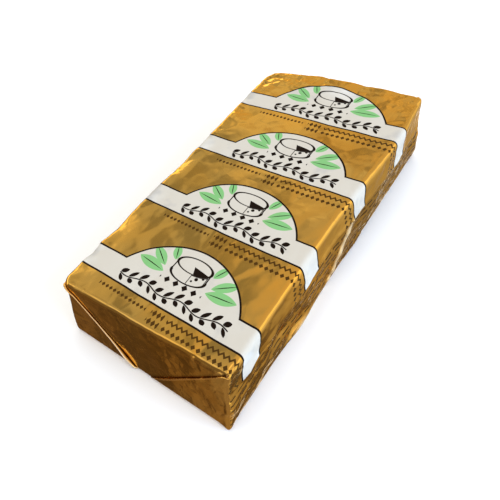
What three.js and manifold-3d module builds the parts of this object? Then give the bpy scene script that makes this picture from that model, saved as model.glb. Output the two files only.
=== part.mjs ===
// A one kilogram loaf of soft-ripened cheese, shut in a sheet of gold foil.
// Millimetres, +Z up. The front end faces -Y, and the origin is the middle of the base.
import * as THREE from 'three';
import { mergeVertices } from 'three/addons/utils/BufferGeometryUtils.js';
import Module from 'manifold-3d';

// The pressed block inside its foil.
const WIDTH = 104;
const LENGTH = 218;
const HEIGHT = 42.5;
const EDGE_RADIUS = 2.5; // every edge at the top and at the base
const UPRIGHT_RADIUS = 2.2; // three of the upright edges
const CRUSHED_RADIUS = 12; // the upright edge at the back left, rounded by handling
const FACE_PITCH = 9; // about how far apart the points of a face lie
const EDGE_STEPS = [0, 0.9, EDGE_RADIUS, 4.5, 8, CRUSHED_RADIUS]; // points this far in from a face's edges
const UPRIGHT_STEPS = 4; // of these, for the points up a wall

// How far each corner of the soft block has slumped from a true box: x, y, z. It is wider and longer
// at the base, and the left side of the top is drawn short. The whole stays centred on the origin.
const SLUMP = {
  frontLeftTop: new THREE.Vector3(1.7, 5.3, -0.7),
  frontRightTop: new THREE.Vector3(-0.4, 2.3, -0.4),
  backRightTop: new THREE.Vector3(-1.5, 2.3, 1.5),
  backLeftTop: new THREE.Vector3(-3.2, -1.4, -1.1),
  frontLeftBase: new THREE.Vector3(-2.4, 2.4, 0),
  frontRightBase: new THREE.Vector3(-2.1, -4.2, 0),
  backRightBase: new THREE.Vector3(1.4, 2.2, 0),
  backLeftBase: new THREE.Vector3(-4.2, 2.4, 0),
};
const BULGE_SPAN = 1.1; // a bulge fades out this far along a face, as a share of the face
const SIDE_BULGE = 1.1; // how far the long sides belly out at mid height
const LEFT_HOLLOW = 1.4; // how far the left top edge is drawn in at mid length
const RIGHT_SWELL = 5.2; // how far the right top edge swells out towards the back
const SWELL_MIDDLE = 65; // where along the loaf it swells most
const SWELL_REACH = 50; // and how far the swell reaches from there
const BACK_SWELL = 0.8; // how far the back end's top edge swells out
const BACK_RISE = 2.3; // and how far it rises
const TOP_SAG = 0.6; // how far the middle of the top lies below its edges
const TOP_LAYER = 0.2; // the share of the height that sags with it

// The foil's folds, which stand proud of the block.
const FOLD_RUN = 0.485; // each crease runs from a top corner this far along the width at the base
const LEFT_LIP = 1.4; // how far a left flap's crease stands off the end at the base
const RIGHT_LIP = 0.7; // and a right flap's
const CREASE_TOP = 0.4; // and either of them at the top corner
const FLAP_ROWS = [0.4, 1.2, EDGE_RADIUS, 8, 16, 24, 32, HEIGHT - EDGE_RADIUS]; // heights of its points
const LAP_HEIGHT = 26; // the free long edge of the sheet, on the right side, above the base
const LAP_RISE = 5.5; // how much higher it lies about the middle
const LAP_MIDDLE = -18; // where along the loaf it is highest
const LAP_REACH = 40; // and how far the rise reaches from there
const LAP_WAVE = 0.5; // how far that edge wanders up and down
const LAP_LIP = 0.7; // how far it stands off the side
const LAP_STEPS = 36;
const EMBEDDED = 2; // how deep a fold's solid is rooted in the block
const TUCK = 0.3; // how far below the surface a fold's smooth side starts
const TAIL_DEPTH = 24; // the tucked tails under the base, from each end
const TAIL_START = 6; // where the line round a tail comes out of the rounded edge
const TAIL_GROOVE = 0.5; // the width and the depth of that line

const halfWidth = WIDTH / 2;
const halfLength = LENGTH / 2;
const SMALLEST_STEP = 0.02; // slivers finer than this are closed up where the folds meet the block

const wasm = await Module();
wasm.setup();

// A closed geometry as a solid that can be joined or cut.
function solid(geometry) {
  geometry.deleteAttribute('normal');
  geometry.deleteAttribute('uv');
  const merged = mergeVertices(geometry, 1e-4);
  return new wasm.Manifold(new wasm.Mesh({
    numProp: 3,
    vertProperties: new Float32Array(merged.attributes.position.array),
    triVerts: new Uint32Array(merged.index.array),
  }));
}

// A unit box geometry whose points are each moved to place(u, v, w), with u, v, w from 0 to 1.
function mouldedBox(segments, place) {
  const geometry = new THREE.BoxGeometry(1, 1, 1, ...segments);
  const position = geometry.attributes.position;
  for (let i = 0; i < position.count; i += 1) {
    const [u, v, w] = [position.getX(i), position.getY(i), position.getZ(i)].map((c) => c + 0.5);
    position.setXYZ(i, ...place(u, v, w).toArray());
  }
  return geometry;
}

// Grid lines from -half to half: close together near both edges and about FACE_PITCH apart between.
function gridLines(half, nearEdge) {
  const inner = half - nearEdge[nearEdge.length - 1];
  const steps = 2 * Math.ceil(inner / FACE_PITCH);
  const low = nearEdge.map((d) => d - half);
  const middle = Array.from({ length: steps - 1 }, (_, i) => -inner + (2 * inner * (i + 1)) / steps);
  return [...low, ...middle, ...low.map((d) => -d).reverse()];
}

// How far inside the block's plan a point lies, and the plan's outward normal there.
function planEdge(x, y) {
  const radius = x < 0 && y > 0 ? CRUSHED_RADIUS : UPRIGHT_RADIUS;
  const dx = Math.abs(x) - (halfWidth - radius);
  const dy = Math.abs(y) - (halfLength - radius);
  const side = new THREE.Vector2(Math.sign(x), Math.sign(y));
  if (dx > 0 && dy > 0) {
    const reach = Math.hypot(dx, dy);
    return { inside: radius - reach, normal: new THREE.Vector2((side.x * dx) / reach, (side.y * dy) / reach) };
  }
  if (dx > dy) return { inside: radius - dx, normal: new THREE.Vector2(side.x, 0) };
  return { inside: radius - dy, normal: new THREE.Vector2(0, side.y) };
}

// Turns the square corners of the plan into round ones.
function roundPlan(x, y) {
  const radius = x < 0 && y > 0 ? CRUSHED_RADIUS : UPRIGHT_RADIUS;
  const dx = Math.abs(x) - (halfWidth - radius);
  const dy = Math.abs(y) - (halfLength - radius);
  if (dx <= 0 || dy <= 0) return [x, y];
  const pull = Math.max(dx, dy) / Math.hypot(dx, dy);
  return [
    Math.sign(x) * (halfWidth - radius + dx * pull),
    Math.sign(y) * (halfLength - radius + dy * pull),
  ];
}

// Rounds the edges at the top and the base of the block.
function roundEdges(point) {
  const { inside, normal } = planEdge(point.x, point.y);
  const middle = HEIGHT / 2;
  const up = Math.abs(point.z - middle) - (middle - EDGE_RADIUS);
  const out = EDGE_RADIUS - inside;
  if (up <= 0 || out <= 0) return point;
  const pull = Math.max(up, out) / Math.hypot(up, out);
  const shift = out * (pull - 1);
  return new THREE.Vector3(
    point.x + normal.x * shift,
    point.y + normal.y * shift,
    middle + Math.sign(point.z - middle) * (middle - EDGE_RADIUS + up * pull),
  );
}

// The slump of the block at a point of the true box, blended between its eight corners.
function slump(x, y, z) {
  const u = THREE.MathUtils.clamp(x / WIDTH + 0.5, 0, 1);
  const v = THREE.MathUtils.clamp(y / LENGTH + 0.5, 0, 1);
  const w = THREE.MathUtils.clamp(z / HEIGHT, 0, 1);
  const mix = (a, b, t) => a.clone().lerp(b, t);
  const top = mix(
    mix(SLUMP.frontLeftTop, SLUMP.frontRightTop, u),
    mix(SLUMP.backLeftTop, SLUMP.backRightTop, u),
    v,
  );
  const base = mix(
    mix(SLUMP.frontLeftBase, SLUMP.frontRightBase, u),
    mix(SLUMP.backLeftBase, SLUMP.backRightBase, u),
    v,
  );
  return mix(base, top, w);
}

// Takes a point of the true box to its place on the soft block.
function settle(point) {
  const { x, y, z } = point;
  const level = z / HEIGHT;
  const belly = Math.sin(Math.PI * level);
  const along = Math.cos((Math.PI * y) / (LENGTH * BULGE_SPAN));
  const across = Math.cos((Math.PI * x) / (WIDTH * BULGE_SPAN));
  const swell = x > 0
    ? RIGHT_SWELL * Math.exp(-(((y - SWELL_MIDDLE) / SWELL_REACH) ** 2))
    : -LEFT_HOLLOW * along;
  const backward = Math.max(0, y / halfLength);
  const topShare = Math.max(0, (level - 1 + TOP_LAYER) / TOP_LAYER);
  const shift = slump(x, y, z);
  shift.x += (x / halfWidth) * (SIDE_BULGE * belly * along + swell * level);
  shift.y += backward * BACK_SWELL * across * level;
  shift.z += BACK_RISE * across * backward ** 4 * level - TOP_SAG * along * across * topShare;
  return shift.add(point);
}

function block() {
  const xs = gridLines(halfWidth, EDGE_STEPS);
  const ys = gridLines(halfLength, EDGE_STEPS);
  const zs = gridLines(HEIGHT / 2, EDGE_STEPS.slice(0, UPRIGHT_STEPS)).map((z) => z + HEIGHT / 2);
  const pick = (lines, t) => lines[Math.round(t * (lines.length - 1))];
  const segments = [xs, ys, zs].map((lines) => lines.length - 1);
  return mouldedBox(segments, (u, v, w) => {
    const [x, y] = roundPlan(pick(xs, u), pick(ys, v));
    return settle(roundEdges(new THREE.Vector3(x, y, pick(zs, w))));
  });
}

// How far the rounded edge at the base has drawn a wall in at a height.
function baseInset(z) {
  if (z >= EDGE_RADIUS) return 0;
  return EDGE_RADIUS - Math.sqrt(EDGE_RADIUS ** 2 - (EDGE_RADIUS - z) ** 2);
}

// A side flap of an end: a wedge between the upright edge and the crease that runs in from the
// top corner. end is -1 at the front and 1 at the back, and side is -1 left and 1 right.
function sideFlap(end, side) {
  const lip = side < 0 ? LEFT_LIP : RIGHT_LIP;
  const upright = end > 0 && side < 0 ? CRUSHED_RADIUS : UPRIGHT_RADIUS;
  const outerX = halfWidth - upright;
  const innerAtBase = halfWidth - FOLD_RUN * WIDTH;
  return mouldedBox([6, 1, FLAP_ROWS.length - 1], (u, v, w) => {
    const z = FLAP_ROWS[Math.round(w * (FLAP_ROWS.length - 1))];
    const rise = z / HEIGHT;
    const inner = THREE.MathUtils.lerp(innerAtBase, outerX, rise);
    const x = side * THREE.MathUtils.lerp(outerX, inner, side < 0 ? u : 1 - u);
    const crease = THREE.MathUtils.lerp(lip, CREASE_TOP, rise);
    const proud = THREE.MathUtils.lerp(-TUCK, crease, (outerX - Math.abs(x)) / (outerX - inner));
    const outward = end < 0 ? v < 0.5 : v > 0.5;
    const y = end * (halfLength - baseInset(z) + (outward ? proud : -EMBEDDED));
    return settle(new THREE.Vector3(x, y, z));
  });
}

// How high the sheet's free long edge lies along the right side.
function lapEdge(y) {
  const rise = LAP_RISE * Math.exp(-(((y - LAP_MIDDLE) / LAP_REACH) ** 2));
  return LAP_HEIGHT + rise + LAP_WAVE * (Math.sin(y / 17) + 0.5 * Math.sin(y / 6.3 + 1));
}

// The overlap on the right side: the sheet comes down over the long edge and ends in a free edge.
function lap() {
  const reach = halfLength - UPRIGHT_RADIUS;
  return mouldedBox([1, LAP_STEPS, 3], (u, v, w) => {
    const y = THREE.MathUtils.lerp(-reach, reach, v);
    const z = THREE.MathUtils.lerp(lapEdge(y), HEIGHT - EDGE_RADIUS - 1, w);
    const x = halfWidth + (u > 0.5 ? THREE.MathUtils.lerp(LAP_LIP, -TUCK, w) : -EMBEDDED);
    return settle(new THREE.Vector3(x, y, z));
  });
}

// A straight groove in the base from one point to another.
function groove(from, to) {
  const run = new THREE.Vector2(...to).sub(new THREE.Vector2(...from));
  const cutter = new THREE.BoxGeometry(run.length() + TAIL_GROOVE, TAIL_GROOVE, 2 * TAIL_GROOVE);
  cutter.rotateZ(run.angle());
  cutter.translate(from[0] + run.x / 2, from[1] + run.y / 2, 0);
  return cutter;
}

// The line round the tail that is tucked under one end: in at 45 degrees from both corners, then across.
function tailGrooves(end) {
  const corner = (side, depth) => [side * (halfWidth - depth - 1), end * (halfLength - depth)];
  return [
    groove(corner(-1, TAIL_START), corner(-1, TAIL_DEPTH)),
    groove(corner(-1, TAIL_DEPTH), corner(1, TAIL_DEPTH)),
    groove(corner(1, TAIL_DEPTH), corner(1, TAIL_START)),
  ];
}

function wrappedLoaf() {
  let loaf = solid(block());
  for (const end of [-1, 1]) {
    for (const side of [-1, 1]) loaf = loaf.add(solid(sideFlap(end, side)));
  }
  loaf = loaf.add(solid(lap()));
  for (const cutter of [...tailGrooves(-1), ...tailGrooves(1)]) loaf = loaf.subtract(solid(cutter));
  return loaf.simplify(SMALLEST_STEP);
}

function geometryOf(manifold) {
  const { vertProperties, triVerts } = manifold.getMesh();
  const geometry = new THREE.BufferGeometry();
  geometry.setAttribute('position', new THREE.BufferAttribute(new Float32Array(vertProperties), 3));
  geometry.setIndex(new THREE.BufferAttribute(new Uint32Array(triVerts), 1));
  geometry.computeVertexNormals();
  return geometry;
}

const goldFoil = new THREE.MeshStandardMaterial({ color: 0xb98a35, roughness: 0.35, metalness: 0.85 });

const loaf = new THREE.Mesh(geometryOf(wrappedLoaf()), goldFoil);
loaf.name = 'foil_wrapped_loaf';

const part = new THREE.Group();
part.add(loaf);

export default part;
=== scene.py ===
"""The looks of a one kilogram loaf of soft-ripened cheese, shut in printed gold foil.

Shapes are worked out in millimetres from the sizes below, and turned into metres as each mesh is made.
The front end faces -Y, and the sheet's free edge runs along the right side, +X.
"""
import functools
import math

import bmesh
import bpy
import numpy as np
from mathutils import Matrix, Vector


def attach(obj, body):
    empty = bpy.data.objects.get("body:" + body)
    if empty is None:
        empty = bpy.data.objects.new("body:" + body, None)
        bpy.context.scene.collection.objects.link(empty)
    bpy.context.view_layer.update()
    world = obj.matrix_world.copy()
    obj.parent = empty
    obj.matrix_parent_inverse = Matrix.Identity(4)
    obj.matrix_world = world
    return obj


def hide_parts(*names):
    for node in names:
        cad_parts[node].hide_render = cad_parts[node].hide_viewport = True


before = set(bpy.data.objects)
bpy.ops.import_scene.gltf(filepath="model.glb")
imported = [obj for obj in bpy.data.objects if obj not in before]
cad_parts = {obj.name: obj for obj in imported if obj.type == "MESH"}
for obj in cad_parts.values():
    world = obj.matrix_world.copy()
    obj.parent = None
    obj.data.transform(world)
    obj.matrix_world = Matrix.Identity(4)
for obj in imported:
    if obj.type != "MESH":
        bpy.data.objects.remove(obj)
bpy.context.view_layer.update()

MM = 0.001
TINY = 1e-9

# The pressed block, as in the part's source but for the back left top corner's slump.
WIDTH, LENGTH, HEIGHT = 104.0, 218.0, 42.5
HALF_W, HALF_L = WIDTH / 2, LENGTH / 2
EDGE_RADIUS = 2.5
UPRIGHT_RADIUS = 2.2
CRUSHED_RADIUS = 12.0  # the back left upright edge
SLUMP = {  # how far each corner of the soft block lies from a true box: side, end, level
    (-1, -1, 1): (1.7, 5.3, -0.7),
    (1, -1, 1): (-0.4, 2.3, -0.4),
    (1, 1, 1): (-1.5, 2.3, 1.5),
    (-1, 1, 1): (-3.2, -2.0, -2.3),
    (-1, -1, 0): (-2.4, 2.4, 0.0),
    (1, -1, 0): (-2.1, -4.2, 0.0),
    (1, 1, 0): (1.4, 2.2, 0.0),
    (-1, 1, 0): (-4.2, 2.4, 0.0),
}
SIDE_BULGE = 1.1
RIGHT_SWELL, SWELL_AT, SWELL_RUN = 5.2, 0.3 * LENGTH, 50.0  # of the right top edge, towards the back
LEFT_HOLLOW = 1.4
BACK_SWELL = 0.8
BACK_RISE = 2.3
TOP_SAG = 0.6

# Small forms that the source leaves to this script.
PINCH = 4.0  # the front left upright edge is rounder by this at the top
RIM_WANDER = 0.3  # the uneven line of the front top edge
FOOT_TIP, FOOT_TIP_RUN = 1.0, 3.5  # the front right foot is drawn out to a point
FOOT_FLARE, FLARE_AT, FLARE_RUN = 1.8, -44.0, 16.0  # the right wall's foot stands out near the front
FOOT_HIGHLIGHT_AT, FOOT_HIGHLIGHT_RUN = -36.0, 14.0  # and a painted highlight lies along it here

# The lap: the sheet's free long edge on the right side.
LAP_HEIGHT = 26.0
LAP_RISE, LAP_RISE_AT, LAP_RISE_RUN = 5.5, -18.0, 40.0  # higher near mid length
LAP_WAVE = 0.5
LAP_ROWS = np.array([-0.8, -0.3, 0.1, 0.5, 1.0, 1.6])  # grid lines about the free edge, before they fold
LAP_LEVELS = np.array([-0.3, 1.2, 1.3, 0.05, 0.0, 0.35])  # up behind the outer layer and round its edge
LAP_STANDS = np.array([0.0, 0.05, 0.22, 0.55, 0.95, 1.0])  # how far they stand out, as shares of its flare
BENEATH_ROWS = 4  # so many rows of faces from the first one show the layer beneath
STRAY_FOOT, STRAY_HEAD, STRAY_TOP = -19.5, 5.5, 32.0  # a loose fold: y at the base, y at its top, the top
STRAY_SQUARE = 0.79  # the share of a step along the wall that is square to that fold
STRAY_STEP, STRAY_RIDGE = 0.5, 0.9

# The end flaps and the tails under the base.
CREASE_RUNS = {  # how far each crease runs over its end panel, as a share of the width: end, side
    (-1, -1): 0.447,
    (-1, 1): 0.485,
    (1, -1): 0.485,
    (1, 1): 0.485,
}
FLAPS = (  # name, end, side, the crease's lift at the base and at the top, its curl and its painted highlight's strength
    ("front_left_flap", -1, -1, 0.3, 0.1, 1.1, 1.0),
    ("front_right_flap", -1, 1, 0.15, 0.1, 0.0, 0.2),
    ("back_left_flap", 1, -1, 0.4, 0.2, 0.4, 0.7),
    ("back_right_flap", 1, 1, 0.5, 0.15, 0.8, 1.0),
)
CREASE_INSET = 1.6  # the creases start this far in from the side, at the top
CREASE_SQUARE = 0.75  # the share of a step across the end that is square to a crease
PUCKER = 0.45  # a small fold that the front left crease draws up next to it
ON_SIDE = 4.0  # a flap starts this far round the upright edge
FLAP_THICKNESS = 0.16
TAIL_THICKNESS = 0.12
TAIL_DEPTH = 24.0
TAIL_RECESS = 0.45  # the room for the tails between the block and the floor

# Grid lines: over a rounded edge, under the base and over a rolled crease, and the pitch elsewhere.
EDGE_LINES = np.array([0, 0.4, 0.8, 1.3, 1.9, 2.6, 3.4])
TUCKED_LINES = np.array([-2.2, -1.2, -0.4, 0.4, 1.2, 2.0, 2.8])
ROLL_LINES = np.array([2.0, 1.5, 1.05, 0.7, 0.42, 0.2, 0.06, 0.0])
PITCH = 0.92
FLAP_COLUMNS, FLAP_ROWS = 58, 44

# The print, on the sheet: the first band's lower edge is measured back from the front edge of the top.
BAND_FIRST = 13.1
BAND_PITCH = 52.8
BAND_DEPTH = 14.3
BANDS = 4
GROUND_START = -11.5  # a band's own print starts this far before it
LABEL_LEFT, LABEL_RIGHT = -90.0, 74.0  # where the bands end, down the side walls
LABEL_REACH = 60.0  # nothing of a label lies farther from its band's lower edge
PRINT_SKEW = -2.4 / HALF_W  # the sheet lies a little askew on the block
DOME_CENTRE, DOME_RADIUS = 4.7, 39.6
DOME_DROP = -2.4  # the dome's centre, above the band's lower edge
INK_BLUR = 0.09
LABEL_LINE = 0.52  # half the width of a label's dark outline
LEAVES = (  # on both sides of the cheese: the middle, the turn, the length and the width
    ((22.0, 18.6), 0.12, 17.5, 6.6),
    ((20.6, 25.0), 0.62, 14.5, 5.8),
    ((14.2, 31.0), 1.12, 10.0, 4.8),
)
RIB_LENGTH, RIB_WIDTH = 0.9, 0.55  # a share of the leaf's length, and millimetres
WHEEL_HALF, WHEEL_DEPTH = 10.5, 4.6  # half sizes of the cheese's round top, as it is drawn
WHEEL_LEVEL, WHEEL_HEIGHT = 27.6, 6.4
HOLES = ((5.0, 21.6, 1.0), (8.0, 23.4, 0.7), (3.2, 19.6, 0.6))
GARLAND_LEVEL, GARLAND_WAVE, GARLAND_SWING = 6.4, 23.0, 1.3
SPRIG_PITCH = 5.75
DASH_PITCH = 3.0  # the rows of dashes on the layer beneath the lap

# Colours of the foil and the print.
GOLD, DEEP_GOLD = (0.76, 0.43, 0.086), (0.87, 0.45, 0.070)
# The painted shade, and the cream of the painted highlight, that the foil is mixed towards.
SHADED_FOIL, HIGHLIGHT_CREAM = (0.10, 0.035, 0.010), (0.95, 0.78, 0.50)
# The labels' paper, with the painted shade and the painted highlight of its wrinkles.
LABEL_SHADE, LABEL, LABEL_HIGHLIGHT = (0.43, 0.425, 0.40), (0.56, 0.535, 0.462), (0.68, 0.69, 0.65)
GREEN_INK, BLACK_INK, BROWN_INK = (0.20, 0.46, 0.175), (0.010, 0.006, 0.004), (0.035, 0.013, 0.003)

CRINKLE = {  # heights and sizes in millimetres; a slope is a height as a share of a size
    "Swell height": 0.9, "Swell size": 30.0,
    "Facet slope": 0.16, "Facet size": 16.0,
    "Crumple slope": 0.55, "Crumple size": 5.5,
    "Pleat height": 3.2, "Pleat size": 5.0,
    "Seed": 3.0,
}
MOST_LOOSE = 0.75
END_FROM = 105.0  # from here to the ends the finish has more facets

# The room that the foil reflects. Colours over a direction's x, y or height: where, and which.
WALLS = (  # from left to right
    (-0.84, (1.8, 1.8, 1.85)), (-0.76, (0.70, 0.71, 0.76)), (-0.70, (0.62, 0.64, 0.70)),
    (-0.56, (0.52, 0.54, 0.59)), (-0.40, (0.57, 0.56, 0.57)), (-0.30, (0.70, 0.64, 0.55)),
    (-0.22, (0.73, 0.635, 0.50)), (0.30, (0.78, 0.71, 0.63)), (0.58, (0.80, 0.73, 0.65)),
    (0.70, (0.86, 0.79, 0.70)),
)
IN_FRONT = (  # low down, from left to right
    (-0.64, (0.150, 0.107, 0.100)), (-0.60, (0.112, 0.081, 0.078)), (-0.56, (0.098, 0.072, 0.070)),
    (-0.46, (0.10, 0.074, 0.070)), (-0.42, (0.16, 0.122, 0.120)), (-0.385, (0.22, 0.177, 0.183)),
    (-0.35, (0.28, 0.235, 0.255)), (-0.28, (0.37, 0.32, 0.35)),
)
BESIDE = (  # low down on the right, from below to above
    (-0.985, (0.95, 0.92, 0.90)), (-0.965, (0.12, 0.095, 0.08)), (-0.89, (0.15, 0.120, 0.105)),
    (-0.82, (0.26, 0.225, 0.215)), (-0.77, (0.42, 0.385, 0.385)), (-0.60, (0.53, 0.50, 0.51)),
    (-0.30, (0.78, 0.78, 0.85)), (0.0, (1.05, 1.07, 1.2)),
)
PANELS = (  # on the walls: the middle, the half sizes and the colour
    ((-0.485, 0.48), (0.075, 0.13), (0.33, 0.34, 0.36)),
    ((-0.46, 0.67), (0.08, 0.035), (0.82, 0.82, 0.84)),
    ((-0.33, 0.83), (0.24, 0.10), (0.75, 0.62, 0.43)),
    ((-0.36, 0.77), (0.05, 0.03), (0.32, 0.31, 0.31)),
    ((-0.60, 0.19), (0.03, 0.05), (0.40, 0.40, 0.41)),
    ((-0.70, 0.36), (0.025, 0.05), (1.00, 0.99, 1.00)),
    ((-0.75, 0.16), (0.03, 0.08), (0.40, 0.40, 0.41)),
)
GLOWS = (  # round soft boxes: towards, half the angle, the angle of the soft rim, and the colour
    ((0.0, 0.0, 1.0), 9.0, 8.0, (1.7, 1.58, 1.36)),
    ((0.72, 0.52, 0.46), 9.0, 15.0, (1.5, 1.4, 1.16)),
    ((-0.50, -0.30, 0.81), 7.0, 9.0, (1.02, 1.02, 1.15)),
    ((-0.68, 0.72, 0.16), 9.0, 5.0, (2.4, 2.1, 1.7)),
    ((0.20, -0.93, 0.20), 26.0, 8.0, (1.35, 1.32, 1.5)),
    ((0.93, -0.25, -0.05), 24.0, 10.0, (1.3, 1.38, 1.25)),
)
FLOOR_REACH = 3.0  # metres
FLOOR, BACKDROP = (0.92, 0.968, 0.985), (0.95, 0.95, 0.95)
LAMPS = (  # the place and size in metres, the power in watts and the tint
    ("side_light", (1.80, 0.15, 0.80), 1.4, 29.5, (0.62, 0.86, 1.30)),
    ("top_light", (-0.10, 0.20, 2.30), 1.6, 18.0, (0.98, 0.955, 0.93)),
    ("front_light", (-1.10, -1.60, 1.30), 0.9, 2.0, (1.0, 0.97, 0.93)),
)


def smooth(low, high, value):
    """0 below low, 1 above high and a smooth step between."""
    t = np.clip((value - low) / (high - low), 0, 1)
    return t * t * (3 - 2 * t)


def mound(distance, width, power=2):
    """1 at no distance, and falling to almost 0 at twice the width."""
    return np.exp(-((np.abs(distance) / width) ** power))


def plan_corner(x, y, z):
    """The plan's corner radius at a point, and how far the point lies past the centre of that arc."""
    pinched = UPRIGHT_RADIUS + PINCH * smooth(8, HEIGHT, z)
    radius = np.where(x > 0, UPRIGHT_RADIUS, np.where(y > 0, CRUSHED_RADIUS, pinched))
    return radius, np.abs(x) - (HALF_W - radius), np.abs(y) - (HALF_L - radius)


def arc_pull(a, b):
    """Whether a point lies in a square corner, at (a, b) from the arc's centre, and what pulls it in."""
    corner = (a > 0) & (b > 0)
    return corner, np.where(corner, np.maximum(a, b) / np.maximum(np.hypot(a, b), TINY), 1)


def round_plan(x, y, z):
    """Turns the square corners of the plan into round ones."""
    radius, dx, dy = plan_corner(x, y, z)
    corner, pull = arc_pull(dx, dy)
    return (
        np.where(corner, np.sign(x) * (HALF_W - radius + dx * pull), x),
        np.where(corner, np.sign(y) * (HALF_L - radius + dy * pull), y),
    )


def plan_edge(x, y, z):
    """How far inside the rounded plan a point lies, and the outward direction there."""
    radius, dx, dy = plan_corner(x, y, z)
    corner = (dx > 0) & (dy > 0)
    reach = np.maximum(np.hypot(dx, dy), TINY)
    within = np.where(corner, radius - reach, radius - np.maximum(dx, dy))
    nx = np.where(corner, dx / reach, (dx > dy) * 1.0)
    ny = np.where(corner, dy / reach, (dx <= dy) * 1.0)
    return within, np.sign(x) * nx, np.sign(y) * ny


def round_edges(x, y, z):
    """Rounds the edges at the top and at the base."""
    within, nx, ny = plan_edge(x, y, z)
    middle = HEIGHT / 2
    up, out = np.abs(z - middle) - (middle - EDGE_RADIUS), EDGE_RADIUS - within
    edge, pull = arc_pull(up, out)
    shift = out * (pull - 1)
    level = middle + np.sign(z - middle) * (middle - EDGE_RADIUS + up * pull)
    return x + nx * shift, y + ny * shift, np.where(edge, level, z)


def slump(x, y, z):
    """The slump at a point of the true box, blended between the eight corners."""
    u, v, w = (np.clip(c, 0, 1) for c in (x / WIDTH + 0.5, y / LENGTH + 0.5, z / HEIGHT))
    total = np.zeros((3,) + np.shape(x))
    for (side, end, level), offset in SLUMP.items():
        share = (u if side > 0 else 1 - u) * (v if end > 0 else 1 - v) * (w if level else 1 - w)
        total += np.array(offset).reshape((3,) + (1,) * np.ndim(x)) * share
    return total


def settle(x, y, z):
    """Takes points of the true box's skin to their places on the soft block."""
    x, y = round_plan(x, y, z)
    x, y, z = round_edges(x, y, z)
    level = np.clip(z / HEIGHT, 0, 1)
    backward = np.clip(y / HALF_L, 0, 1)
    upper_fifth = np.maximum(0, z / HEIGHT - 0.8) * 5
    along = np.cos(np.pi * y / (LENGTH * 1.1))  # 1 in the middle, and a little above 0 at the ends
    across = np.cos(np.pi * x / (WIDTH * 1.1))
    swell = np.where(x > 0, RIGHT_SWELL * mound(y - SWELL_AT, SWELL_RUN), -LEFT_HOLLOW * along)
    dx, dy, dz = slump(x, y, z)
    dx = dx + x / HALF_W * (SIDE_BULGE * np.sin(np.pi * level) * along + swell * level)
    dy = dy + BACK_SWELL * backward * across * level
    dz = dz - TOP_SAG * along * across * upper_fifth
    dz = dz + BACK_RISE * across * backward**4 * level
    wander = np.sin(x / 7.5 + 0.6) + 0.6 * np.sin(x / 3.4 + 2.0)
    dz = dz - RIM_WANDER * wander * mound(y + HALF_L, 5) * level**8
    tip = FOOT_TIP * mound(x - HALF_W, FOOT_TIP_RUN) * mound(y + HALF_L, FOOT_TIP_RUN)
    tip = tip * (1 - smooth(0, 9, z))
    return np.stack([x + dx + tip, y + dy - tip, z + dz], axis=-1)


def looseness(points):
    """How much the foil creases at a place: more on the walls and at the corners than on the top."""
    x, y, z = points.T
    top = smooth(HEIGHT - 5, HEIGHT - 0.5, z)
    corner = mound(np.maximum(HALF_W - np.abs(x), 0), 8) * mound(np.maximum(HALF_L - np.abs(y), 0), 8)
    front_left = mound(x + HALF_W, 12) * mound(y + HALF_L, 9)
    right_wall = smooth(HALF_W - 4, HALF_W - 1, x) * (1 - top)
    value = (
        0.12
        + 0.40 * corner * (0.1 + 0.9 * smooth(HEIGHT - 14, HEIGHT - 5, z))
        + 0.45 * mound(x + HALF_W, 26) * mound(y - HALF_L, 22)  # the crushed back left corner
        + 0.62 * front_left * smooth(HEIGHT - 12, HEIGHT - 6, z)
        + 0.45 * mound(x + HALF_W, 8) * top  # the left top edge
        + 0.35 * mound(y - HALF_L, 17) * top  # the back top edge
        + 0.30 * mound(y + HALF_L, 3) * smooth(HEIGHT - 6, HEIGHT - 2, z)  # the front top edge
        + 0.15 * mound(x - HALF_W, 5) * smooth(HEIGHT - 12, HEIGHT - 4, z)  # the right top edge
        + 0.30 * right_wall
        + 0.25 * right_wall * (1 - smooth(LAP_HEIGHT - 2, LAP_HEIGHT + 5, z))  # beneath the lap
        - 0.07 * smooth(HALF_L - 4, HALF_L - 1, np.abs(y))  # the end panels
    )
    return np.minimum(value, MOST_LOOSE) * smooth(0.3, 3.0, z)


def lines(half):
    """Grid lines from -half to half, close together over the rounded edges."""
    inner = half - EDGE_LINES[-1]
    middle = np.linspace(-inner, inner, round(2 * inner / PITCH) + 1)[1:-1]
    return np.concatenate([EDGE_LINES - half, middle, half - EDGE_LINES[::-1]])


def grid_quads(number, flip=False):
    """Faces between the neighbours of a grid of point numbers."""
    corners = number[:-1, :-1], number[1:, :-1], number[1:, 1:], number[:-1, 1:]
    quads = np.stack(corners, -1).reshape(-1, 4)
    return quads[:, ::-1] if flip else quads


def unit(vectors):
    """The vectors, each made one long."""
    return vectors / np.maximum(np.linalg.norm(vectors, axis=-1, keepdims=True), TINY)


def grid_normals(points):
    """Unit normals of a grid of points, by differences along its rows and columns."""
    return unit(np.cross(np.gradient(points, axis=0), np.gradient(points, axis=1)))


def point_normals(points, faces):
    """Each point's outward direction, summed from the faces that meet there."""
    a, b, c, d = points[faces.T]
    normals = np.cross(c - a, d - b)
    total = np.zeros_like(points)
    for corner in faces.T:
        np.add.at(total, corner, normals)
    return unit(total)


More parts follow.
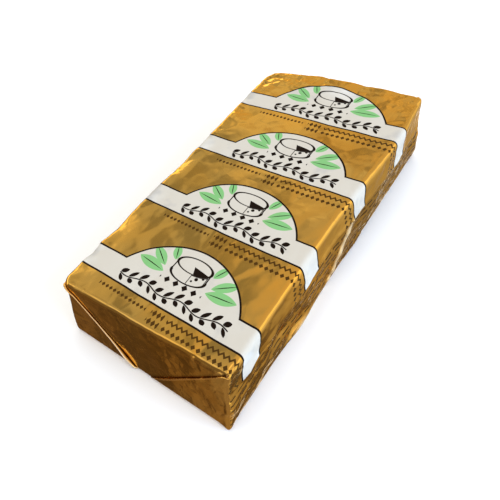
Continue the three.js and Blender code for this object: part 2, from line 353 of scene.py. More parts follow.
def foil_mesh(name, points, faces, sheet, rest, outward, pleat=0.0, dull=0.0, pale=0.0):
    """A piece of foil from points in millimetres. sheet holds a place on the flat sheet for each face
    corner. At each point the crinkles read the rest place, the outward direction and the pleats, and
    the finish reads how much painted shade and painted highlight lie on the gilding."""
    mesh = bpy.data.meshes.new(name)
    mesh.from_pydata((points * MM).tolist(), [], faces.tolist())
    mesh.uv_layers.new(name="sheet").data.foreach_set("uv", (sheet * MM).ravel())
    for key, values in (("outward", outward), ("rest", rest * MM)):
        mesh.attributes.new(key, "FLOAT_VECTOR", "POINT").data.foreach_set("vector", values.ravel())
    for key, values in (("loose", looseness(rest)), ("pleat", pleat), ("dull", dull), ("pale", pale)):
        full = np.broadcast_to(values, len(points))
        mesh.attributes.new(key, "FLOAT", "POINT").data.foreach_set("value", full)
    piece = bpy.data.objects.new(name, mesh)
    bpy.context.scene.collection.objects.link(piece)
    return piece


def lap_fold(y, z, row):
    """Where points of the right wall go for the lap. From the top its rows run down the outer layer,
    round the free edge, up behind it and down the layer beneath. Gives their heights, how far they
    stand out, and the lap's share, which fades out towards the ends."""
    fade = 1 - smooth(HALF_L - 7, HALF_L - 2.4, np.abs(y))
    wander = LAP_RISE * mound(y - LAP_RISE_AT, LAP_RISE_RUN)
    wander = wander + LAP_WAVE * (np.sin(y / 17) + 0.5 * np.sin(y / 6.3 + 1)) * fade
    tent = np.minimum(z / LAP_HEIGHT, (HEIGHT - z) / (HEIGHT - LAP_HEIGHT))
    z = z + wander * np.clip(tent, 0, 1)
    edge, last = LAP_HEIGHT + wander, len(LAP_ROWS) - 1
    folded, at = (row >= 0) & (row <= last), np.clip(row, 0, last)
    z = np.where(folded, z + (edge + LAP_LEVELS[at] - z) * fade, z)
    above = np.clip((z - edge) / (HEIGHT - EDGE_RADIUS - LAP_HEIGHT), 0, 1)
    outer = np.where(row > last, 0.25 * (1 - above) + 0.75 * np.exp(-above * 7), 0)
    flare = 0.95 + 0.4 * np.sin(y / 11 + 0.7) * np.sin(y / 29)
    return z, flare * np.where(folded, LAP_STANDS[at], outer) * fade, fade


def stray_fold(y, z):
    """The loose fold of the free edge: a low step with a sharp ridge along its front."""
    line = STRAY_FOOT + (STRAY_HEAD - STRAY_FOOT) * z / STRAY_TOP + np.sin(z / 4)
    past = (y - line) * STRAY_SQUARE
    ending = 1 - smooth(28, 34, z)
    step = smooth(-0.6, 0.6, past) * mound(np.maximum(past, 0), 7, 1)
    return step * ending, mound(past - 0.5, 1) * ending


def crease_run(end, side, rise):
    """How far in from the side a flap's crease lies at a height."""
    foot = CREASE_RUNS[end, side] * WIDTH
    return CREASE_INSET + (foot - CREASE_INSET) * np.clip(1 - rise / HEIGHT, 0, 1)


def beside_creases(x, y, z):
    """The painted shade on the end panels beside the flaps' creases, and the pucker next to the front left
    one.
    """
    shade = np.zeros_like(x)
    for end, side in CREASE_RUNS:
        panel = (y * end > HALF_L - 0.01) & (x * side > -4)
        clear = (HALF_W - crease_run(end, side, z) - x * side) * CREASE_SQUARE
        shade = shade + panel * mound(np.maximum(clear, 0), 1.2) * (clear > -2)
        if (end, side) == (-1, -1):
            pucker = panel * mound(clear - 3.4 + 2.0 * (1 - z / HEIGHT), 0.9)
            pucker = pucker * smooth(10, 16, z) * (1 - smooth(26, 34, z))
    return shade, pucker


def foil_wrap():
    """The sheet round the block: a closed skin whose right side carries the lap."""
    xs, ys = lines(HALF_W), lines(HALF_L)
    lower = np.concatenate([EDGE_LINES, np.linspace(4.3, LAP_HEIGHT - 1.3, 23)])
    upper = np.concatenate([np.linspace(LAP_HEIGHT + 2.6, HEIGHT - 4.2, 13), HEIGHT - EDGE_LINES[::-1]])
    zs = np.concatenate([lower, LAP_HEIGHT + LAP_ROWS, upper])
    skin = np.ones((len(xs), len(ys), len(zs)), bool)
    skin[1:-1, 1:-1, 1:-1] = False
    i, j, k = np.nonzero(skin)
    number = np.full(skin.shape, -1)
    number[skin] = np.arange(len(i))

    x, y, z = xs[i], ys[j], zs[k]
    right, row = i == len(xs) - 1, k - len(lower)
    lap_z, lap_stands, fade = lap_fold(y, z, row)
    z = np.where(right, lap_z, z)
    step, ridge = stray_fold(y, z)
    stands = lap_stands + (STRAY_STEP * step + STRAY_RIDGE * ridge) * smooth(0.5, 9, z)
    stands = stands + FOOT_FLARE * mound(y - FLARE_AT, FLARE_RUN) * mound(z, 3, 1)
    shade, pucker = beside_creases(x, y, z)
    points = settle(x, y, z)
    points[:, 0] += right * stands
    points[:, 1] -= PUCKER * pucker
    over_tail = smooth(HALF_L - TAIL_DEPTH - 3, HALF_L - TAIL_DEPTH - 1, np.abs(y))
    points[:, 2] += TAIL_RECESS * over_tail * (1 - smooth(0, 1.6, z)) * (z < 1.2)

    top, base = grid_quads(number[:, :, -1]), grid_quads(number[:, :, 0], flip=True)
    left, right_wall = grid_quads(number[0], flip=True), grid_quads(number[-1])
    front, back = grid_quads(number[:, 0]), grid_quads(number[:, -1], flip=True)
    faces = np.concatenate([top, base, left, right_wall, front, back])

    def flat(wall, across, along):
        return np.stack([across[wall.ravel()], along[wall.ravel()]], -1)

    girth = 2 * HALF_W + HEIGHT  # from the left wall's foot to the right wall's
    drop = HEIGHT - zs[k]
    below_edge = np.arange(len(zs) - 1) < len(lower) + BENEATH_ROWS
    beneath = np.repeat(np.tile(below_edge, len(ys) - 1), 4)[:, None]
    layer_beneath = flat(right_wall, -HALF_W - girth - zs[k], y)
    layer_over = flat(right_wall, HALF_W + HEIGHT - z, y)
    sheet = np.concatenate([
        flat(top, x, y),
        flat(base, -girth - x, y),
        flat(left, -HALF_W - drop, y),
        np.where(beneath, layer_beneath, layer_over),
        flat(front, x, -HALF_L - drop),
        flat(back, x, HALF_L + drop),
    ])

    outward = point_normals(points, faces)
    outward[right & (row >= -1) & (row <= len(LAP_ROWS))] = (1, 0, 0)  # all layers move straight out
    under_lap = right * np.clip(1.5 - 0.5 * np.maximum(row, 1), 0, 1) * fade  # 0 from the lap's fourth row
    pleat = under_lap * smooth(0.5, 4, z)
    # Painted shade: darker on the layer beneath the lap, more so towards the back, and beside the flaps'
    # creases.
    dull = np.maximum(0.5 * under_lap * (0.3 + 0.7 * smooth(-25, 5, y)), 0.9 * shade)
    # Painted highlights: a bright line along the loose fold's ridge, and one along the right wall's foot
    # near the front.
    foot_highlight = mound(y - FOOT_HIGHLIGHT_AT, FOOT_HIGHLIGHT_RUN, 4) * mound(z, 1.8)
    pale = right * np.maximum(0.85 * ridge, 0.9 * foot_highlight)
    return foil_mesh("foil_wrap", points, faces, sheet, points, outward, pleat, dull, pale)


def closed_sheet(name, rest, normals, outer, inner, sheet, pale=0.0):
    """A thin closed solid between two offsets of a grid of rest points."""
    number = np.arange(outer.size).reshape(outer.shape)
    rim = np.concatenate([number[:-1, 0], number[-1, :-1], number[:0:-1, -1], number[0, :0:-1]])
    following = np.roll(rim, -1)
    walls = np.stack([rim + number.size, following + number.size, following, rim], -1)
    faces = np.concatenate([grid_quads(number + number.size), grid_quads(number, flip=True), walls])
    near, far = (rest + normals * offset[..., None] for offset in (inner, outer))

    def both(first, second):
        return np.concatenate([first, second]).reshape(-1, first.shape[-1])

    flat = both(sheet, sheet)[faces.ravel()]
    pale = np.tile(np.broadcast_to(pale, outer.shape).ravel(), 2)
    rest, outward = both(rest, rest), both(normals, normals)
    piece = foil_mesh(name, both(near, far), faces, flat, rest, outward, pale=pale)
    work = bmesh.new()
    work.from_mesh(piece.data)
    bmesh.ops.remove_doubles(work, verts=work.verts, dist=0.004 * MM)
    bmesh.ops.recalc_face_normals(work, faces=work.faces)
    work.to_mesh(piece.data)
    work.free()
    return piece


def side_flap(name, end, side, lip, lip_top, curl, crease_highlight):
    """A side flap folded in over an end. It leaves the side wall unseen, turns the upright edge and
    ends in a rolled crease that runs down from the top corner. end is -1 at the front, side -1 left.
    The crease lifts by lip at the base and by lip_top at the top, opens into a curl at its foot, and
    the last argument is how strong the painted highlight along the crease is."""
    heights = np.concatenate([TUCKED_LINES, np.linspace(3.7, HEIGHT - 1.6, FLAP_ROWS)])
    share = np.concatenate([np.linspace(0, 1, FLAP_COLUMNS), np.ones(len(ROLL_LINES) - 1)])
    from_crease = np.concatenate([np.full(FLAP_COLUMNS, ROLL_LINES[0]), ROLL_LINES[1:]])
    rise, column = np.meshgrid(heights, np.arange(len(share)), indexing="ij")
    whole = ON_SIDE + crease_run(end, side, rise)
    travel = share[column] * (whole - ROLL_LINES[0]) + ROLL_LINES[0] - from_crease[column]
    to_crease = whole - travel
    tucked_in = np.maximum(-rise, 0)
    x = side * np.minimum(HALF_W - np.maximum(travel - ON_SIDE, 0), HALF_W - tucked_in)
    y = end * np.minimum(HALF_L - np.maximum(ON_SIDE - travel, 0), HALF_L - tucked_in)
    rest = settle(x, y, np.maximum(rise, 0))
    normals = grid_normals(rest) * (-1 if side * end > 0 else 1)

    down = np.clip(1 - rise / HEIGHT, 0, 1)
    curled = down**6 + 0.4 * mound(down, 0.13)  # at the foot, and a little at the top
    nose = 0.08 + (0.22 + 0.22 * down + curl * curled) * np.clip((rise + 1) / 8, 0, 1)  # half the roll
    thick = FLAP_THICKNESS + (2 * nose - FLAP_THICKNESS) * mound(to_crease, 3 * nose, 3)
    lift = (lip_top + (lip - lip_top) * down**1.6) * smooth(-2.2, 3.0, rise)
    # It starts sunk in the side wall, comes out round the edge and lifts towards the crease.
    outer = -0.5 + 0.58 * smooth(0.5, 4, travel) + lift * mound(to_crease, 5 + 9 * down, 1.4)
    outer = outer + thick - FLAP_THICKNESS
    round_off = 0.5 * thick * (1 - np.sqrt(1 - (1 - np.clip(to_crease / nose, 0, 1)) ** 2))
    above_base = smooth(-0.2, 1.0, rise)
    outer = outer * above_base - TAIL_THICKNESS * (1 - above_base)
    flat = np.stack([side * (HALF_W + ON_SIDE - travel), end * (HALF_L + HEIGHT - rise)], -1)
    # A painted highlight along the crease's roll, stronger towards the foot.
    pale = crease_highlight * mound(to_crease, 2.2 * nose) * down**0.5
    return closed_sheet(name, rest, normals, outer - round_off, outer - thick + round_off, flat, pale)


def tail(name, end):
    """The tail tucked flat under one end, narrowing at 45 degrees."""
    depth, share = np.meshgrid(np.linspace(1.6, TAIL_DEPTH, 24), np.linspace(-1, 1, 60), indexing="ij")
    x = share * (HALF_W - 0.6 - depth)
    rest = settle(x, end * (HALF_L - depth), np.zeros_like(x))
    rest[..., 2] = 0
    normals = np.zeros_like(rest)
    normals[..., 2] = -1
    outer = -0.32 + 0.3 * smooth(1.6, 3.4, depth)  # drawn up at the fold, and flat behind it
    flat = np.stack([x, end * (HALF_L + HEIGHT + depth)], -1)
    return closed_sheet(name, rest, normals, outer, outer - TAIL_THICKNESS, flat)


class Nodes:
    """Adds nodes to a tree, and wraps the number sockets among their outputs for use in expressions."""

    def __init__(self, tree):
        self.tree = tree
        tree.nodes.clear()

    def add(self, kind, settings=None, *values, **inputs):
        """Adds any node: its settings come first, then its sockets, in order or by name."""
        node = self.tree.nodes.new(kind)
        for key, value in (settings or {}).items():
            if key == "stops":
                self.set_stops(node.color_ramp.elements, value)
            else:
                setattr(node, key, value)
        for value, socket in zip(values, node.inputs):
            self.plug(value, socket)
        for key, value in inputs.items():
            label = key.replace("_", " ").lower()
            self.plug(value, next(s for s in node.inputs if s.enabled and s.name.lower() == label))
        return node

    def plug(self, value, socket):
        """Links a value or a socket, or sets a constant."""
        if isinstance(value, Value):
            value = value.socket
        if isinstance(value, bpy.types.NodeSocket):
            self.tree.links.new(value, socket)
        elif socket.type == "RGBA":
            socket.default_value = (*value, 1)
        else:
            socket.default_value = value

    def set_stops(self, elements, stops):
        """Sets a ramp's stops, which are given from -1 to 1."""
        while len(elements) < len(stops):
            elements.new(0.5)
        for element, (at, colour) in zip(elements, stops):
            element.position = at * 0.5 + 0.5
            element.color = (*colour, 1)

    def math(self, operation, *values, clamp=False):
        """The value of a Math node."""
        settings = {"operation": operation, "use_clamp": clamp}
        return Value(self, self.add("ShaderNodeMath", settings, *values).outputs[0])

    def vector(self, operation, *values, **inputs):
        """A Vector Math node."""
        return self.add("ShaderNodeVectorMath", {"operation": operation}, *values, **inputs)

    def split(self, vector):
        """The three parts of a vector."""
        parts = self.add("ShaderNodeSeparateXYZ", Vector=vector).outputs
        return [Value(self, part) for part in parts]

    def attribute(self, label):
        """A number that a piece keeps at each of its points."""
        return Value(self, self.add("ShaderNodeAttribute", {"attribute_name": label}).outputs["Fac"])

    def noise(self, place, scale, detail, rough=0.5, distort=0.0):
        """Noise from 0 to 1 over a place."""
        texture = self.add("ShaderNodeTexNoise", Vector=place, Scale=scale, Detail=detail,
                           Roughness=rough, Distortion=distort)
        return Value(self, texture.outputs["Fac"])

    def mix(self, factor, under, over):
        """A colour between two."""
        return self.add("ShaderNodeMix", {"data_type": "RGBA"}, Factor=factor, A=under, B=over).outputs[2]

    def ramp(self, value, stops):
        """A colour for each value from -1 to 1."""
        return self.add("ShaderNodeValToRGB", {"stops": stops}, value * 0.5 + 0.5).outputs[0]

    def facets(self, place, scale):
        """Flat facets that meet in creases: a roof over each Voronoi cell, some raised and some sunk,
        at random heights. The height is a share of a cell's size."""
        cell = self.add("ShaderNodeTexVoronoi", Vector=place, Scale=scale)
        chance = self.split(cell.outputs["Color"])[0]
        edge = self.add("ShaderNodeTexVoronoi", {"feature": "DISTANCE_TO_EDGE"}, Vector=place, Scale=scale)
        return Value(self, edge.outputs["Distance"]) * (chance - 0.5)


def adds(operation, swapped=False):
    """A method that adds a Math node with this operation."""
    def method(self, *others):
        return self.nodes.math(operation, *((*others, self) if swapped else (self, *others)))
    return method


class Value:
    """A number socket that adds Math nodes when it is used in an expression."""

    def __init__(self, nodes, socket):
        self.nodes, self.socket = nodes, socket

    __add__ = __radd__ = adds("ADD")
    __mul__ = __rmul__ = adds("MULTIPLY")
    __sub__, __rsub__ = adds("SUBTRACT"), adds("SUBTRACT", swapped=True)
    __truediv__, __rtruediv__ = adds("DIVIDE"), adds("DIVIDE", swapped=True)
    __mod__ = adds("FLOORED_MODULO")
    __abs__ = adds("ABSOLUTE")
    least, most = adds("MINIMUM"), adds("MAXIMUM")
    above = adds("GREATER_THAN")
    floor, root, sine = adds("FLOOR"), adds("SQRT"), adds("SINE")

    def __neg__(self):
        return self * -1.0

    def held(self, low=0.0, high=1.0):
        """The value, kept from low to high."""
        return self.most(low).least(high)

    def past(self, start, gain, high=1.0):
        """How far the value is past a start, times a gain, from 0 to high."""
        return ((self - start) * gain).held(0.0, high)

    def short_of(self, start, gain, high=1.0):
        """How far the value falls short of a start, times a gain, from 0 to high."""
        return ((start - self) * gain).held(0.0, high)


def length(a, b):
    """The length of a flat vector."""
    return (a * a + b * b).root()


def nearest(distances):
    """Several shapes as one, by their signed distances."""
    return functools.reduce(Value.least, distances)


def inside(distance):
    """1 where a signed distance in millimetres is below zero, with a fine soft edge."""
    return distance.nodes.math("MULTIPLY_ADD", distance, -1 / INK_BLUR, 0.5, clamp=True)


def leaf(u, v, at, angle, long, wide):
    """Signed distance to a pointed leaf: the overlap of two circles."""
    c, s = math.cos(angle), math.sin(angle)
    x = (u - at[0]) * c + (v - at[1]) * s
    y = (v - at[1]) * c - (u - at[0]) * s
    half, reach = wide / 2, long / 2
    radius = (reach * reach + half * half) / (2 * half)
    return length(x, abs(y) + (radius - half)) - radius


def box_distance(x, y, half_x, half_y):
    """Signed distance to a rectangle, near enough for a print's edge."""
    return (abs(x) - half_x).most(abs(y) - half_y)


def zigzag(place, row, pitch, height, half_line=0.48):
    """Signed distance to a zigzag line that runs along a row."""
    wave = (abs(place / pitch % 1.0 - 0.5) * 4.0 - 1.0) * height
    return abs(row - wave) * (pitch / math.hypot(pitch, 4 * height)) - half_line


def lozenges(place, row, pitch, wide, high):
    """Signed distance to a row of diamonds, by their half sizes."""
    return abs(place % pitch - pitch / 2) * (high / wide) + abs(row) - high


def between(place, start, stop):
    """1 from start to stop, and 0 elsewhere."""
    return inside(abs(place - (start + stop) / 2) - (stop - start) / 2)


def cheese(u, v):
    """Signed distance to a drawn cheese, and its lines: rims, a wedge cut from its top and holes."""
    across, up = u / WHEEL_HALF, (v - WHEEL_LEVEL) / WHEEL_DEPTH
    foot_level = WHEEL_LEVEL - WHEEL_HEIGHT
    top = (length(across, up) - 1.0) * WHEEL_DEPTH
    side = box_distance(u, v - (WHEEL_LEVEL + foot_level) / 2, WHEEL_HALF, WHEEL_HEIGHT / 2)
    foot = (length(across, (v - foot_level) / WHEEL_DEPTH) - 1.0) * WHEEL_DEPTH
    whole = nearest((top, side, foot))
    sector = (up * 0.94 + across * 0.34).most(-(up * 0.17 + across * 0.98)) * 6.0
    wedge = sector.most(top + 0.1)
    cut_side = (abs(u - 5.6) - 4.2).most(whole).most(-(top - 0.5)).most(v - 26.6)
    holes = nearest(length(u - x, v - y) - radius for x, y, radius in HOLES)
    ink = inside(abs(whole) - 0.36).most(inside((abs(top) - 0.3).most(whole)))
    return whole, ink.most(inside(wedge)).most(inside(holes)).most(inside(abs(cut_side) - 0.22))


def garland(u, v):
    """A wavy stem along the band, with leaves above and below it."""
    turn = 2 * math.pi / GARLAND_WAVE
    wave = (u * turn).sine() * GARLAND_SWING
    slope = (u * turn + math.pi / 2).sine() * (GARLAND_SWING * turn)
    height = v - GARLAND_LEVEL - wave
    stem = abs(height) / (slope * slope + 1.0).root() - 0.34
    place = u % SPRIG_PITCH - SPRIG_PITCH / 2
    upper = leaf(place, height, (0.9, 2.3), 0.75, 5.2, 2.5)
    lower = leaf(place, height, (1.3, -2.0), -0.7, 4.6, 2.2)
    return inside(stem.least(upper.least(lower))) * inside(abs(u - 1.0) - 33.5)


def borders(u, v):
    """Small zigzags and diamonds on the gold below a band."""
    small = inside(zigzag(u, v + 3.9, 3.0, 0.85)) * between(u, 6.6, 90.0)
    small = small.most(inside(lozenges(u, v + 8.2, 3.0, 1.25, 1.45)) * between(u, 6.6, 90.0))
    small = small.most(inside(lozenges(u, v + 4.4, 2.6, 1.05, 1.25)) * between(u, -37.7, -6.5))
    bold = inside(lozenges(u, (v + 10.6) % 4.6 - 2.3, 2.6, 1.2, 1.95))
    return small.most(bold * inside(box_distance(u - 0.5, v + 6.0, 3.9, 4.6)))


def dashes(across, along, pale):
    """Rows of plain dashes on the layer beneath the lap, gone under the painted highlight."""
    under = across + (3 * HALF_W + HEIGHT)
    row = (under / DASH_PITCH).floor()
    turn = (along / (6.0 + row % 3.0 * 2.0) + row * 0.37) % 1.0
    rows = inside(abs(under % DASH_PITCH - DASH_PITCH / 2) - 0.5) * between(under, -24.0, -1.0)
    return rows * turn.above(0.25) * (1 - (pale * 4.0).held())


def print_masks(nodes, pale):
    """White, green, black and small brown print over the sheet, each from 0 to 1."""
    place = nodes.add("ShaderNodeUVMap", {"uv_map": "sheet"}).outputs["UV"]
    across, along = (part * (1 / MM) for part in nodes.split(place)[:2])
    run = along - across * PRINT_SKEW + (HALF_L - BAND_FIRST)
    label = ((run - GROUND_START) / BAND_PITCH).floor().held(0, BANDS - 1)
    u, v = across - DOME_CENTRE, run - label * BAND_PITCH

    band = abs(v - BAND_DEPTH / 2) - BAND_DEPTH / 2
    dome = (length(u, v - DOME_DROP) - DOME_RADIUS).most(BAND_DEPTH / 2 - v)
    middle, half = (LABEL_LEFT + LABEL_RIGHT) / 2, (LABEL_RIGHT - LABEL_LEFT) / 2
    edge = band.least(dome).most(box_distance(across - middle, v, half, LABEL_REACH))
    white, outline = inside(edge), inside(abs(edge) - LABEL_LINE)

    flip = abs(u)
    leaves = inside(nearest(leaf(flip, v, *form) for form in LEAVES))
    rib_forms = [(at, angle, long * RIB_LENGTH, RIB_WIDTH) for at, angle, long, _ in LEAVES]
    ribs = inside(nearest(leaf(flip, v, *form) for form in rib_forms))
    wheel, wheel_ink = cheese(u, v)
    row_of_diamonds = inside(abs(u % 5.6 - 2.8) * 0.8 + abs(v - 14.6) * 0.75 - 1.45) * inside(flip - 13.0)
    motif = wheel_ink.most(ribs).most(row_of_diamonds)
    black = outline.most(motif * white).most(garland(u, v))
    small = borders(u, v).most(dashes(across, along, pale)) * (1 - white)
    return white, leaves * white * inside(0.3 - wheel), black, small


def foil_material(name, printed):
    """Lacquered gold foil with fine crinkles. It carries painted shade in folds and painted highlights
    along creases, and has paper-white labels, with painted wrinkle shading, and inks where it is printed."""
    material = bpy.data.materials.new(name)
    material.use_nodes = True
    nodes = Nodes(material.node_tree)
    place = nodes.add("ShaderNodeTexCoord").outputs["Object"]
    loose, dull, pale = (nodes.attribute(label) for label in ("loose", "dull", "pale"))

    colour = nodes.mix((nodes.noise(place, 26.0, 2.0) - 0.40) * 4.0, GOLD, DEEP_GOLD)
    # Painted shade in folds, beneath the lap and beside the creases.
    colour = nodes.mix(dull, colour, SHADED_FOIL)
    # Painted highlight: a cream that also takes away some of the metal.
    colour = nodes.mix(pale * 0.9, colour, HIGHLIGHT_CREAM)
    metallic = 1.0
    roughness = 0.06 + nodes.noise(place, 60.0, 3.0) * 0.12
    if printed:
        white, green, black, small_print = print_masks(nodes, pale)
        # Painted shade and painted highlights over the labels' wrinkles, stronger where the foil is loose.
        creases = (nodes.noise(place, 55.0, 3.0, 0.6) - 0.42) * 5.0 + (1.3 - loose * 1.8)
        wrinkle_highlights = (nodes.noise(place, 48.0, 2.0) - 0.47) * (loose - 0.15) * 14.0
        label = nodes.mix(wrinkle_highlights, nodes.mix(creases, LABEL_SHADE, LABEL), LABEL_HIGHLIGHT)
        colour = nodes.mix(white, colour, label)
        colour = nodes.mix(green, colour, GREEN_INK)
        colour = nodes.mix(black, colour, BLACK_INK)
        colour = nodes.mix(small_print * 0.95, colour, BROWN_INK)
        covered = white.most(black)
        metallic = 1 - covered.most(small_print * 0.85).most(pale * 0.65)
        roughness = roughness + covered * 0.22

    # Bump, with scales in cells per metre.
    on_end = abs(nodes.split(place)[1]).past(END_FROM * MM, 400)
    waves = nodes.noise(place, 75.0, 1.0, distort=0.6)
    facets = nodes.facets(place, 90.0) * 1.2
    fine = nodes.facets(place, 240.0)
    height = waves * (0.05 + loose * 0.3) + facets * (0.5 + loose * 5.0) + fine * loose * loose * 5.0
    height = height + facets * on_end + fine * on_end * 1.3
    bump = nodes.add("ShaderNodeBump", Strength=0.55, Distance=0.0006, Height=height)
    shader = nodes.add("ShaderNodeBsdfPrincipled", Base_Color=colour, Metallic=metallic,
                       Roughness=roughness, Normal=bump.outputs[0],
                       Specular_IOR_Level=0.02, Specular_Tint=(1.0, 0.85, 0.55))
    nodes.add("ShaderNodeOutputMaterial", Surface=shader.outputs[0])
    return material


def crinkle_tree():
    """Moves a foil piece's points along its outward directions: broad swells and long flat facets
    everywhere, smaller ones where the foil is loose, and pleats below the lap. Layers that lie together
    move alike, as both read the rest place."""
    tree = bpy.data.node_groups.new("foil_crinkle", "GeometryNodeTree")
    face = tree.interface
    face.new_socket("Geometry", in_out="INPUT", socket_type="NodeSocketGeometry")
    for label in CRINKLE:
        face.new_socket(label, in_out="INPUT", socket_type="NodeSocketFloat")
    face.new_socket("Foil", in_out="INPUT", socket_type="NodeSocketMaterial")
    face.new_socket("Geometry", in_out="OUTPUT", socket_type="NodeSocketGeometry")
    nodes = Nodes(tree)
    given = {s.name: s for s in nodes.add("NodeGroupInput").outputs}
    sizes = {label: Value(nodes, given[label]) for label in CRINKLE}

    def named(label, kind):
        node = nodes.add("GeometryNodeInputNamedAttribute", {"data_type": kind}, Name=label)
        return next(s for s in node.outputs if s.enabled)

    def noise(place, shift, size, **inputs):
        texture = nodes.add("ShaderNodeTexNoise", {"noise_dimensions": "4D"}, Vector=place,
                            W=sizes["Seed"] + shift, Scale=(1 / MM) / sizes[size], Detail=1.0, **inputs)
        return Value(nodes, texture.outputs["Fac"]) - 0.5

    def facets(place, size):
        return nodes.facets(place, (1 / MM) / sizes[size]) * sizes[size]

    def stretched(place, along):
        return nodes.vector("MULTIPLY", place, (1.0, along, 1.0)).outputs[0]

    rest = named("rest", "FLOAT_VECTOR")
    loose, pleat = (Value(nodes, named(label, "FLOAT")) for label in ("loose", "pleat"))
    lifted = (nodes.split(rest)[2] * (1 / (3 * MM)) - 0.25).held()
    turn = nodes.add("ShaderNodeVectorRotate", {"rotation_type": "Z_AXIS"}, Vector=rest, Angle=0.3)
    swell = noise(rest, 0.0, "Swell size") * sizes["Swell height"]
    long_facets = facets(stretched(turn.outputs[0], 0.6), "Facet size") * sizes["Facet slope"]
    long_facets = long_facets * (loose * 4.5 + 0.4)
    crumple = facets(rest, "Crumple size") * sizes["Crumple slope"] * loose
    folds = 0.1 - abs(noise(stretched(rest, 0.12), 5.0, "Pleat size", Distortion=0.2))
    amount = (swell + long_facets + crumple + folds * sizes["Pleat height"] * pleat) * lifted * MM
    shift = nodes.vector("SCALE", Vector=named("outward", "FLOAT_VECTOR"), Scale=amount)
    moved = nodes.add("GeometryNodeSetPosition", Geometry=given["Geometry"], Offset=shift.outputs[0])
    real = nodes.add("GeometryNodeRealizeInstances", Geometry=moved.outputs[0])
    coated = nodes.add("GeometryNodeSetMaterial", Geometry=real.outputs[0], Material=given["Foil"])
    nodes.add("NodeGroupOutput", Geometry=coated.outputs[0])
    return tree


def crinkled(piece, tree, material):
    """Runs the crinkle tree on a piece and keeps the result as its plain mesh."""
    modifier = piece.modifiers.new("crinkle", "NODES")
    modifier.node_group = tree
    sockets = {s.name: s.identifier for s in tree.interface.items_tree if s.in_out == "INPUT"}
    for label, value in {**CRINKLE, "Foil": material}.items():
        modifier[sockets[label]] = value
    bpy.context.view_layer.update()
    evaluated = piece.evaluated_get(bpy.context.evaluated_depsgraph_get())
    mesh = bpy.data.meshes.new_from_object(evaluated)
    piece.modifiers.clear()
    piece.data = mesh
    mesh.name = piece.name
    mesh.shade_smooth()
    return piece


def pale_floor():
    """A wide matt floor, which the foil doesn't reflect: the room's colours stand for it there."""
    mesh = bpy.data.meshes.new("floor")
    corners = [(u * FLOOR_REACH, v * FLOOR_REACH, 0) for u, v in ((-1, -1), (1, -1), (1, 1), (-1, 1))]
    mesh.from_pydata(corners, [], [(0, 1, 2, 3)])
    floor = bpy.data.objects.new("floor", mesh)
    bpy.context.scene.collection.objects.link(floor)
    paint = bpy.data.materials.new("floor_paint")
    paint.use_nodes = True
    nodes = Nodes(paint.node_tree)
    surface = nodes.add("ShaderNodeBsdfPrincipled", Base_Color=FLOOR, Roughness=0.9, Specular_IOR_Level=0.0)
    nodes.add("ShaderNodeOutputMaterial", Surface=surface.outputs[0])
    mesh.materials.append(paint)
    floor.visible_glossy = False


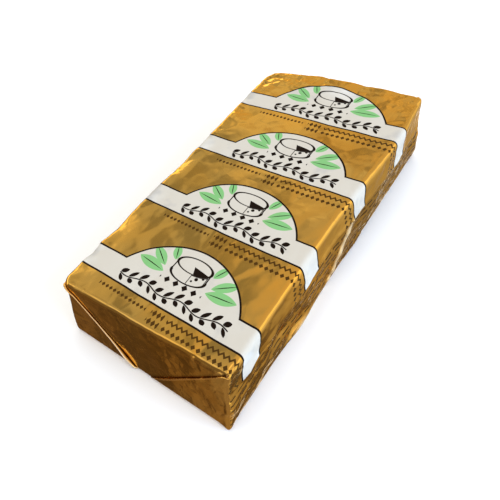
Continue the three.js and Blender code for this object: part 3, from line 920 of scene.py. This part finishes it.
def room():
    """The surroundings: soft walls with panels above, darker ones low in front and beside, and glows."""
    world = bpy.data.worlds.new("room")
    bpy.context.scene.world = world
    world.use_nodes = True
    nodes = Nodes(world.node_tree)
    direction = nodes.add("ShaderNodeTexCoord").outputs["Generated"]
    x, y, level = nodes.split(direction)
    uneven = nodes.noise(direction, 2.6, 1.0) - 0.5
    mottle = nodes.noise(direction, 15.0, 2.0, 0.6)

    walls = nodes.ramp(x + uneven * 0.2, WALLS)
    for middle, half, colour in PANELS:
        off_x, off_y = abs(x + uneven * 0.14 - middle[0]), abs(y - uneven * 0.14 - middle[1])
        share = ((off_x - half[0]).most(off_y - half[1]) * -25.0 + 0.5).held()
        walls = nodes.mix(share, walls, colour)
    far_off = y.past(0.62, 6)
    walls = nodes.mix(mottle.past(0.53, 6.0, 0.6) * far_off, walls, (0.26, 0.22, 0.16))
    walls = nodes.mix(mottle.short_of(0.45, 6.0, 0.5) * far_off, walls, (1.10, 0.95, 0.66))
    walls = nodes.mix((-y).past(0.42, 6), walls, (0.20, 0.17, 0.16))

    in_front = nodes.ramp(x + uneven * 0.1, IN_FRONT)
    in_front = nodes.mix(mottle.past(0.52, 5.0, 0.55), in_front, (0.30, 0.22, 0.19))
    in_front = nodes.mix(mottle.short_of(0.47, 5.0, 0.30), in_front, (0.03, 0.022, 0.02))
    beside = nodes.ramp(level + uneven * 0.12, BESIDE)
    beside = nodes.mix(x.short_of(0.10, 10), beside, (1.0, 0.98, 0.92))
    rightward = x.past(-0.5, 4)
    beside = nodes.mix(rightward, (0.20, 0.17, 0.15), beside)
    right_front = nodes.mix(rightward, (0.15, 0.11, 0.10), (0.50, 0.44, 0.42))
    ground = nodes.mix((y * 9 + 2.0).held(), in_front, right_front)
    ground = nodes.mix((y * 5 - 0.2).held(), ground, beside)

    sky = nodes.mix((level * 5 + 0.5).held(), ground, walls)
    skyline = level.short_of(0.30, 8) * (level * 8 + 0.3).held()
    sky = nodes.mix(skyline * ((y * 0.8 - x * 0.6) * 1.5 + 0.2).held(), sky, (1.15, 1.06, 0.92))
    for toward, half_angle, rim, colour in GLOWS:
        closeness = nodes.vector("DOT_PRODUCT", direction, Vector(toward).normalized()).outputs["Value"]
        inner, outer = math.cos(math.radians(half_angle)), math.cos(math.radians(half_angle + rim))
        sky = nodes.mix(((Value(nodes, closeness) - outer) / (inner - outer)).held(), sky, colour)
    # The foil reflects all this, and behind the loaf there is a plain pale backdrop.
    seen = nodes.add("ShaderNodeLightPath").outputs["Is Camera Ray"]
    light = nodes.add("ShaderNodeBackground", Color=nodes.mix(seen, sky, BACKDROP), Strength=1.0)
    nodes.add("ShaderNodeOutputWorld", Surface=light.outputs[0])


def lamps():
    """Soft square lights that face the loaf and don't show in the foil."""
    for name, place, size, power, tint in LAMPS:
        lamp = bpy.data.lights.new(name, "AREA")
        lamp.shape = "SQUARE"
        lamp.size = size
        lamp.energy = power
        lamp.color = tint
        item = bpy.data.objects.new(name, lamp)
        item.location = place
        item.visible_glossy = False
        item.rotation_mode = "QUATERNION"
        item.rotation_quaternion = (Vector(place) - Vector((0, 0, 0.02))).to_track_quat("Z", "Y")
        bpy.context.scene.collection.objects.link(item)


def camera():
    """The photograph's viewpoint: from the front right, looking down, with a slight roll."""
    eye = Vector((127.9, -180.1, 234.4)) * MM
    aim = Vector((11.3, -29.4, 21.25)) * MM
    roll = math.radians(-7.85)
    lens = bpy.data.cameras.new("camera")
    lens.lens = 37.92
    lens.sensor_width = 36.0
    lens.clip_start, lens.clip_end = 0.01, 20
    item = bpy.data.objects.new("camera", lens)
    facing = (eye - aim).to_track_quat("Z", "Y").to_matrix().to_4x4()
    item.matrix_world = Matrix.Translation(eye) @ facing @ Matrix.Rotation(roll, 4, "Z")
    bpy.context.scene.collection.objects.link(item)
    bpy.context.scene.camera = item


bpy.context.scene.view_settings.view_transform = "Standard"
camera()
pale_floor()
room()
lamps()
printed_foil = foil_material("printed_foil", True)
plain_foil = foil_material("plain_foil", False)
crinkle = crinkle_tree()

wrap = crinkled(foil_wrap(), crinkle, printed_foil)
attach(wrap, "root")
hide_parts("foil_wrapped_loaf")

for label, *form in FLAPS:
    flap = crinkled(side_flap(label, *form), crinkle, plain_foil)
    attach(flap, "root")

for label, end in (("front_tail", -1), ("back_tail", 1)):
    piece = crinkled(tail(label, end), crinkle, plain_foil)
    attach(piece, "root")
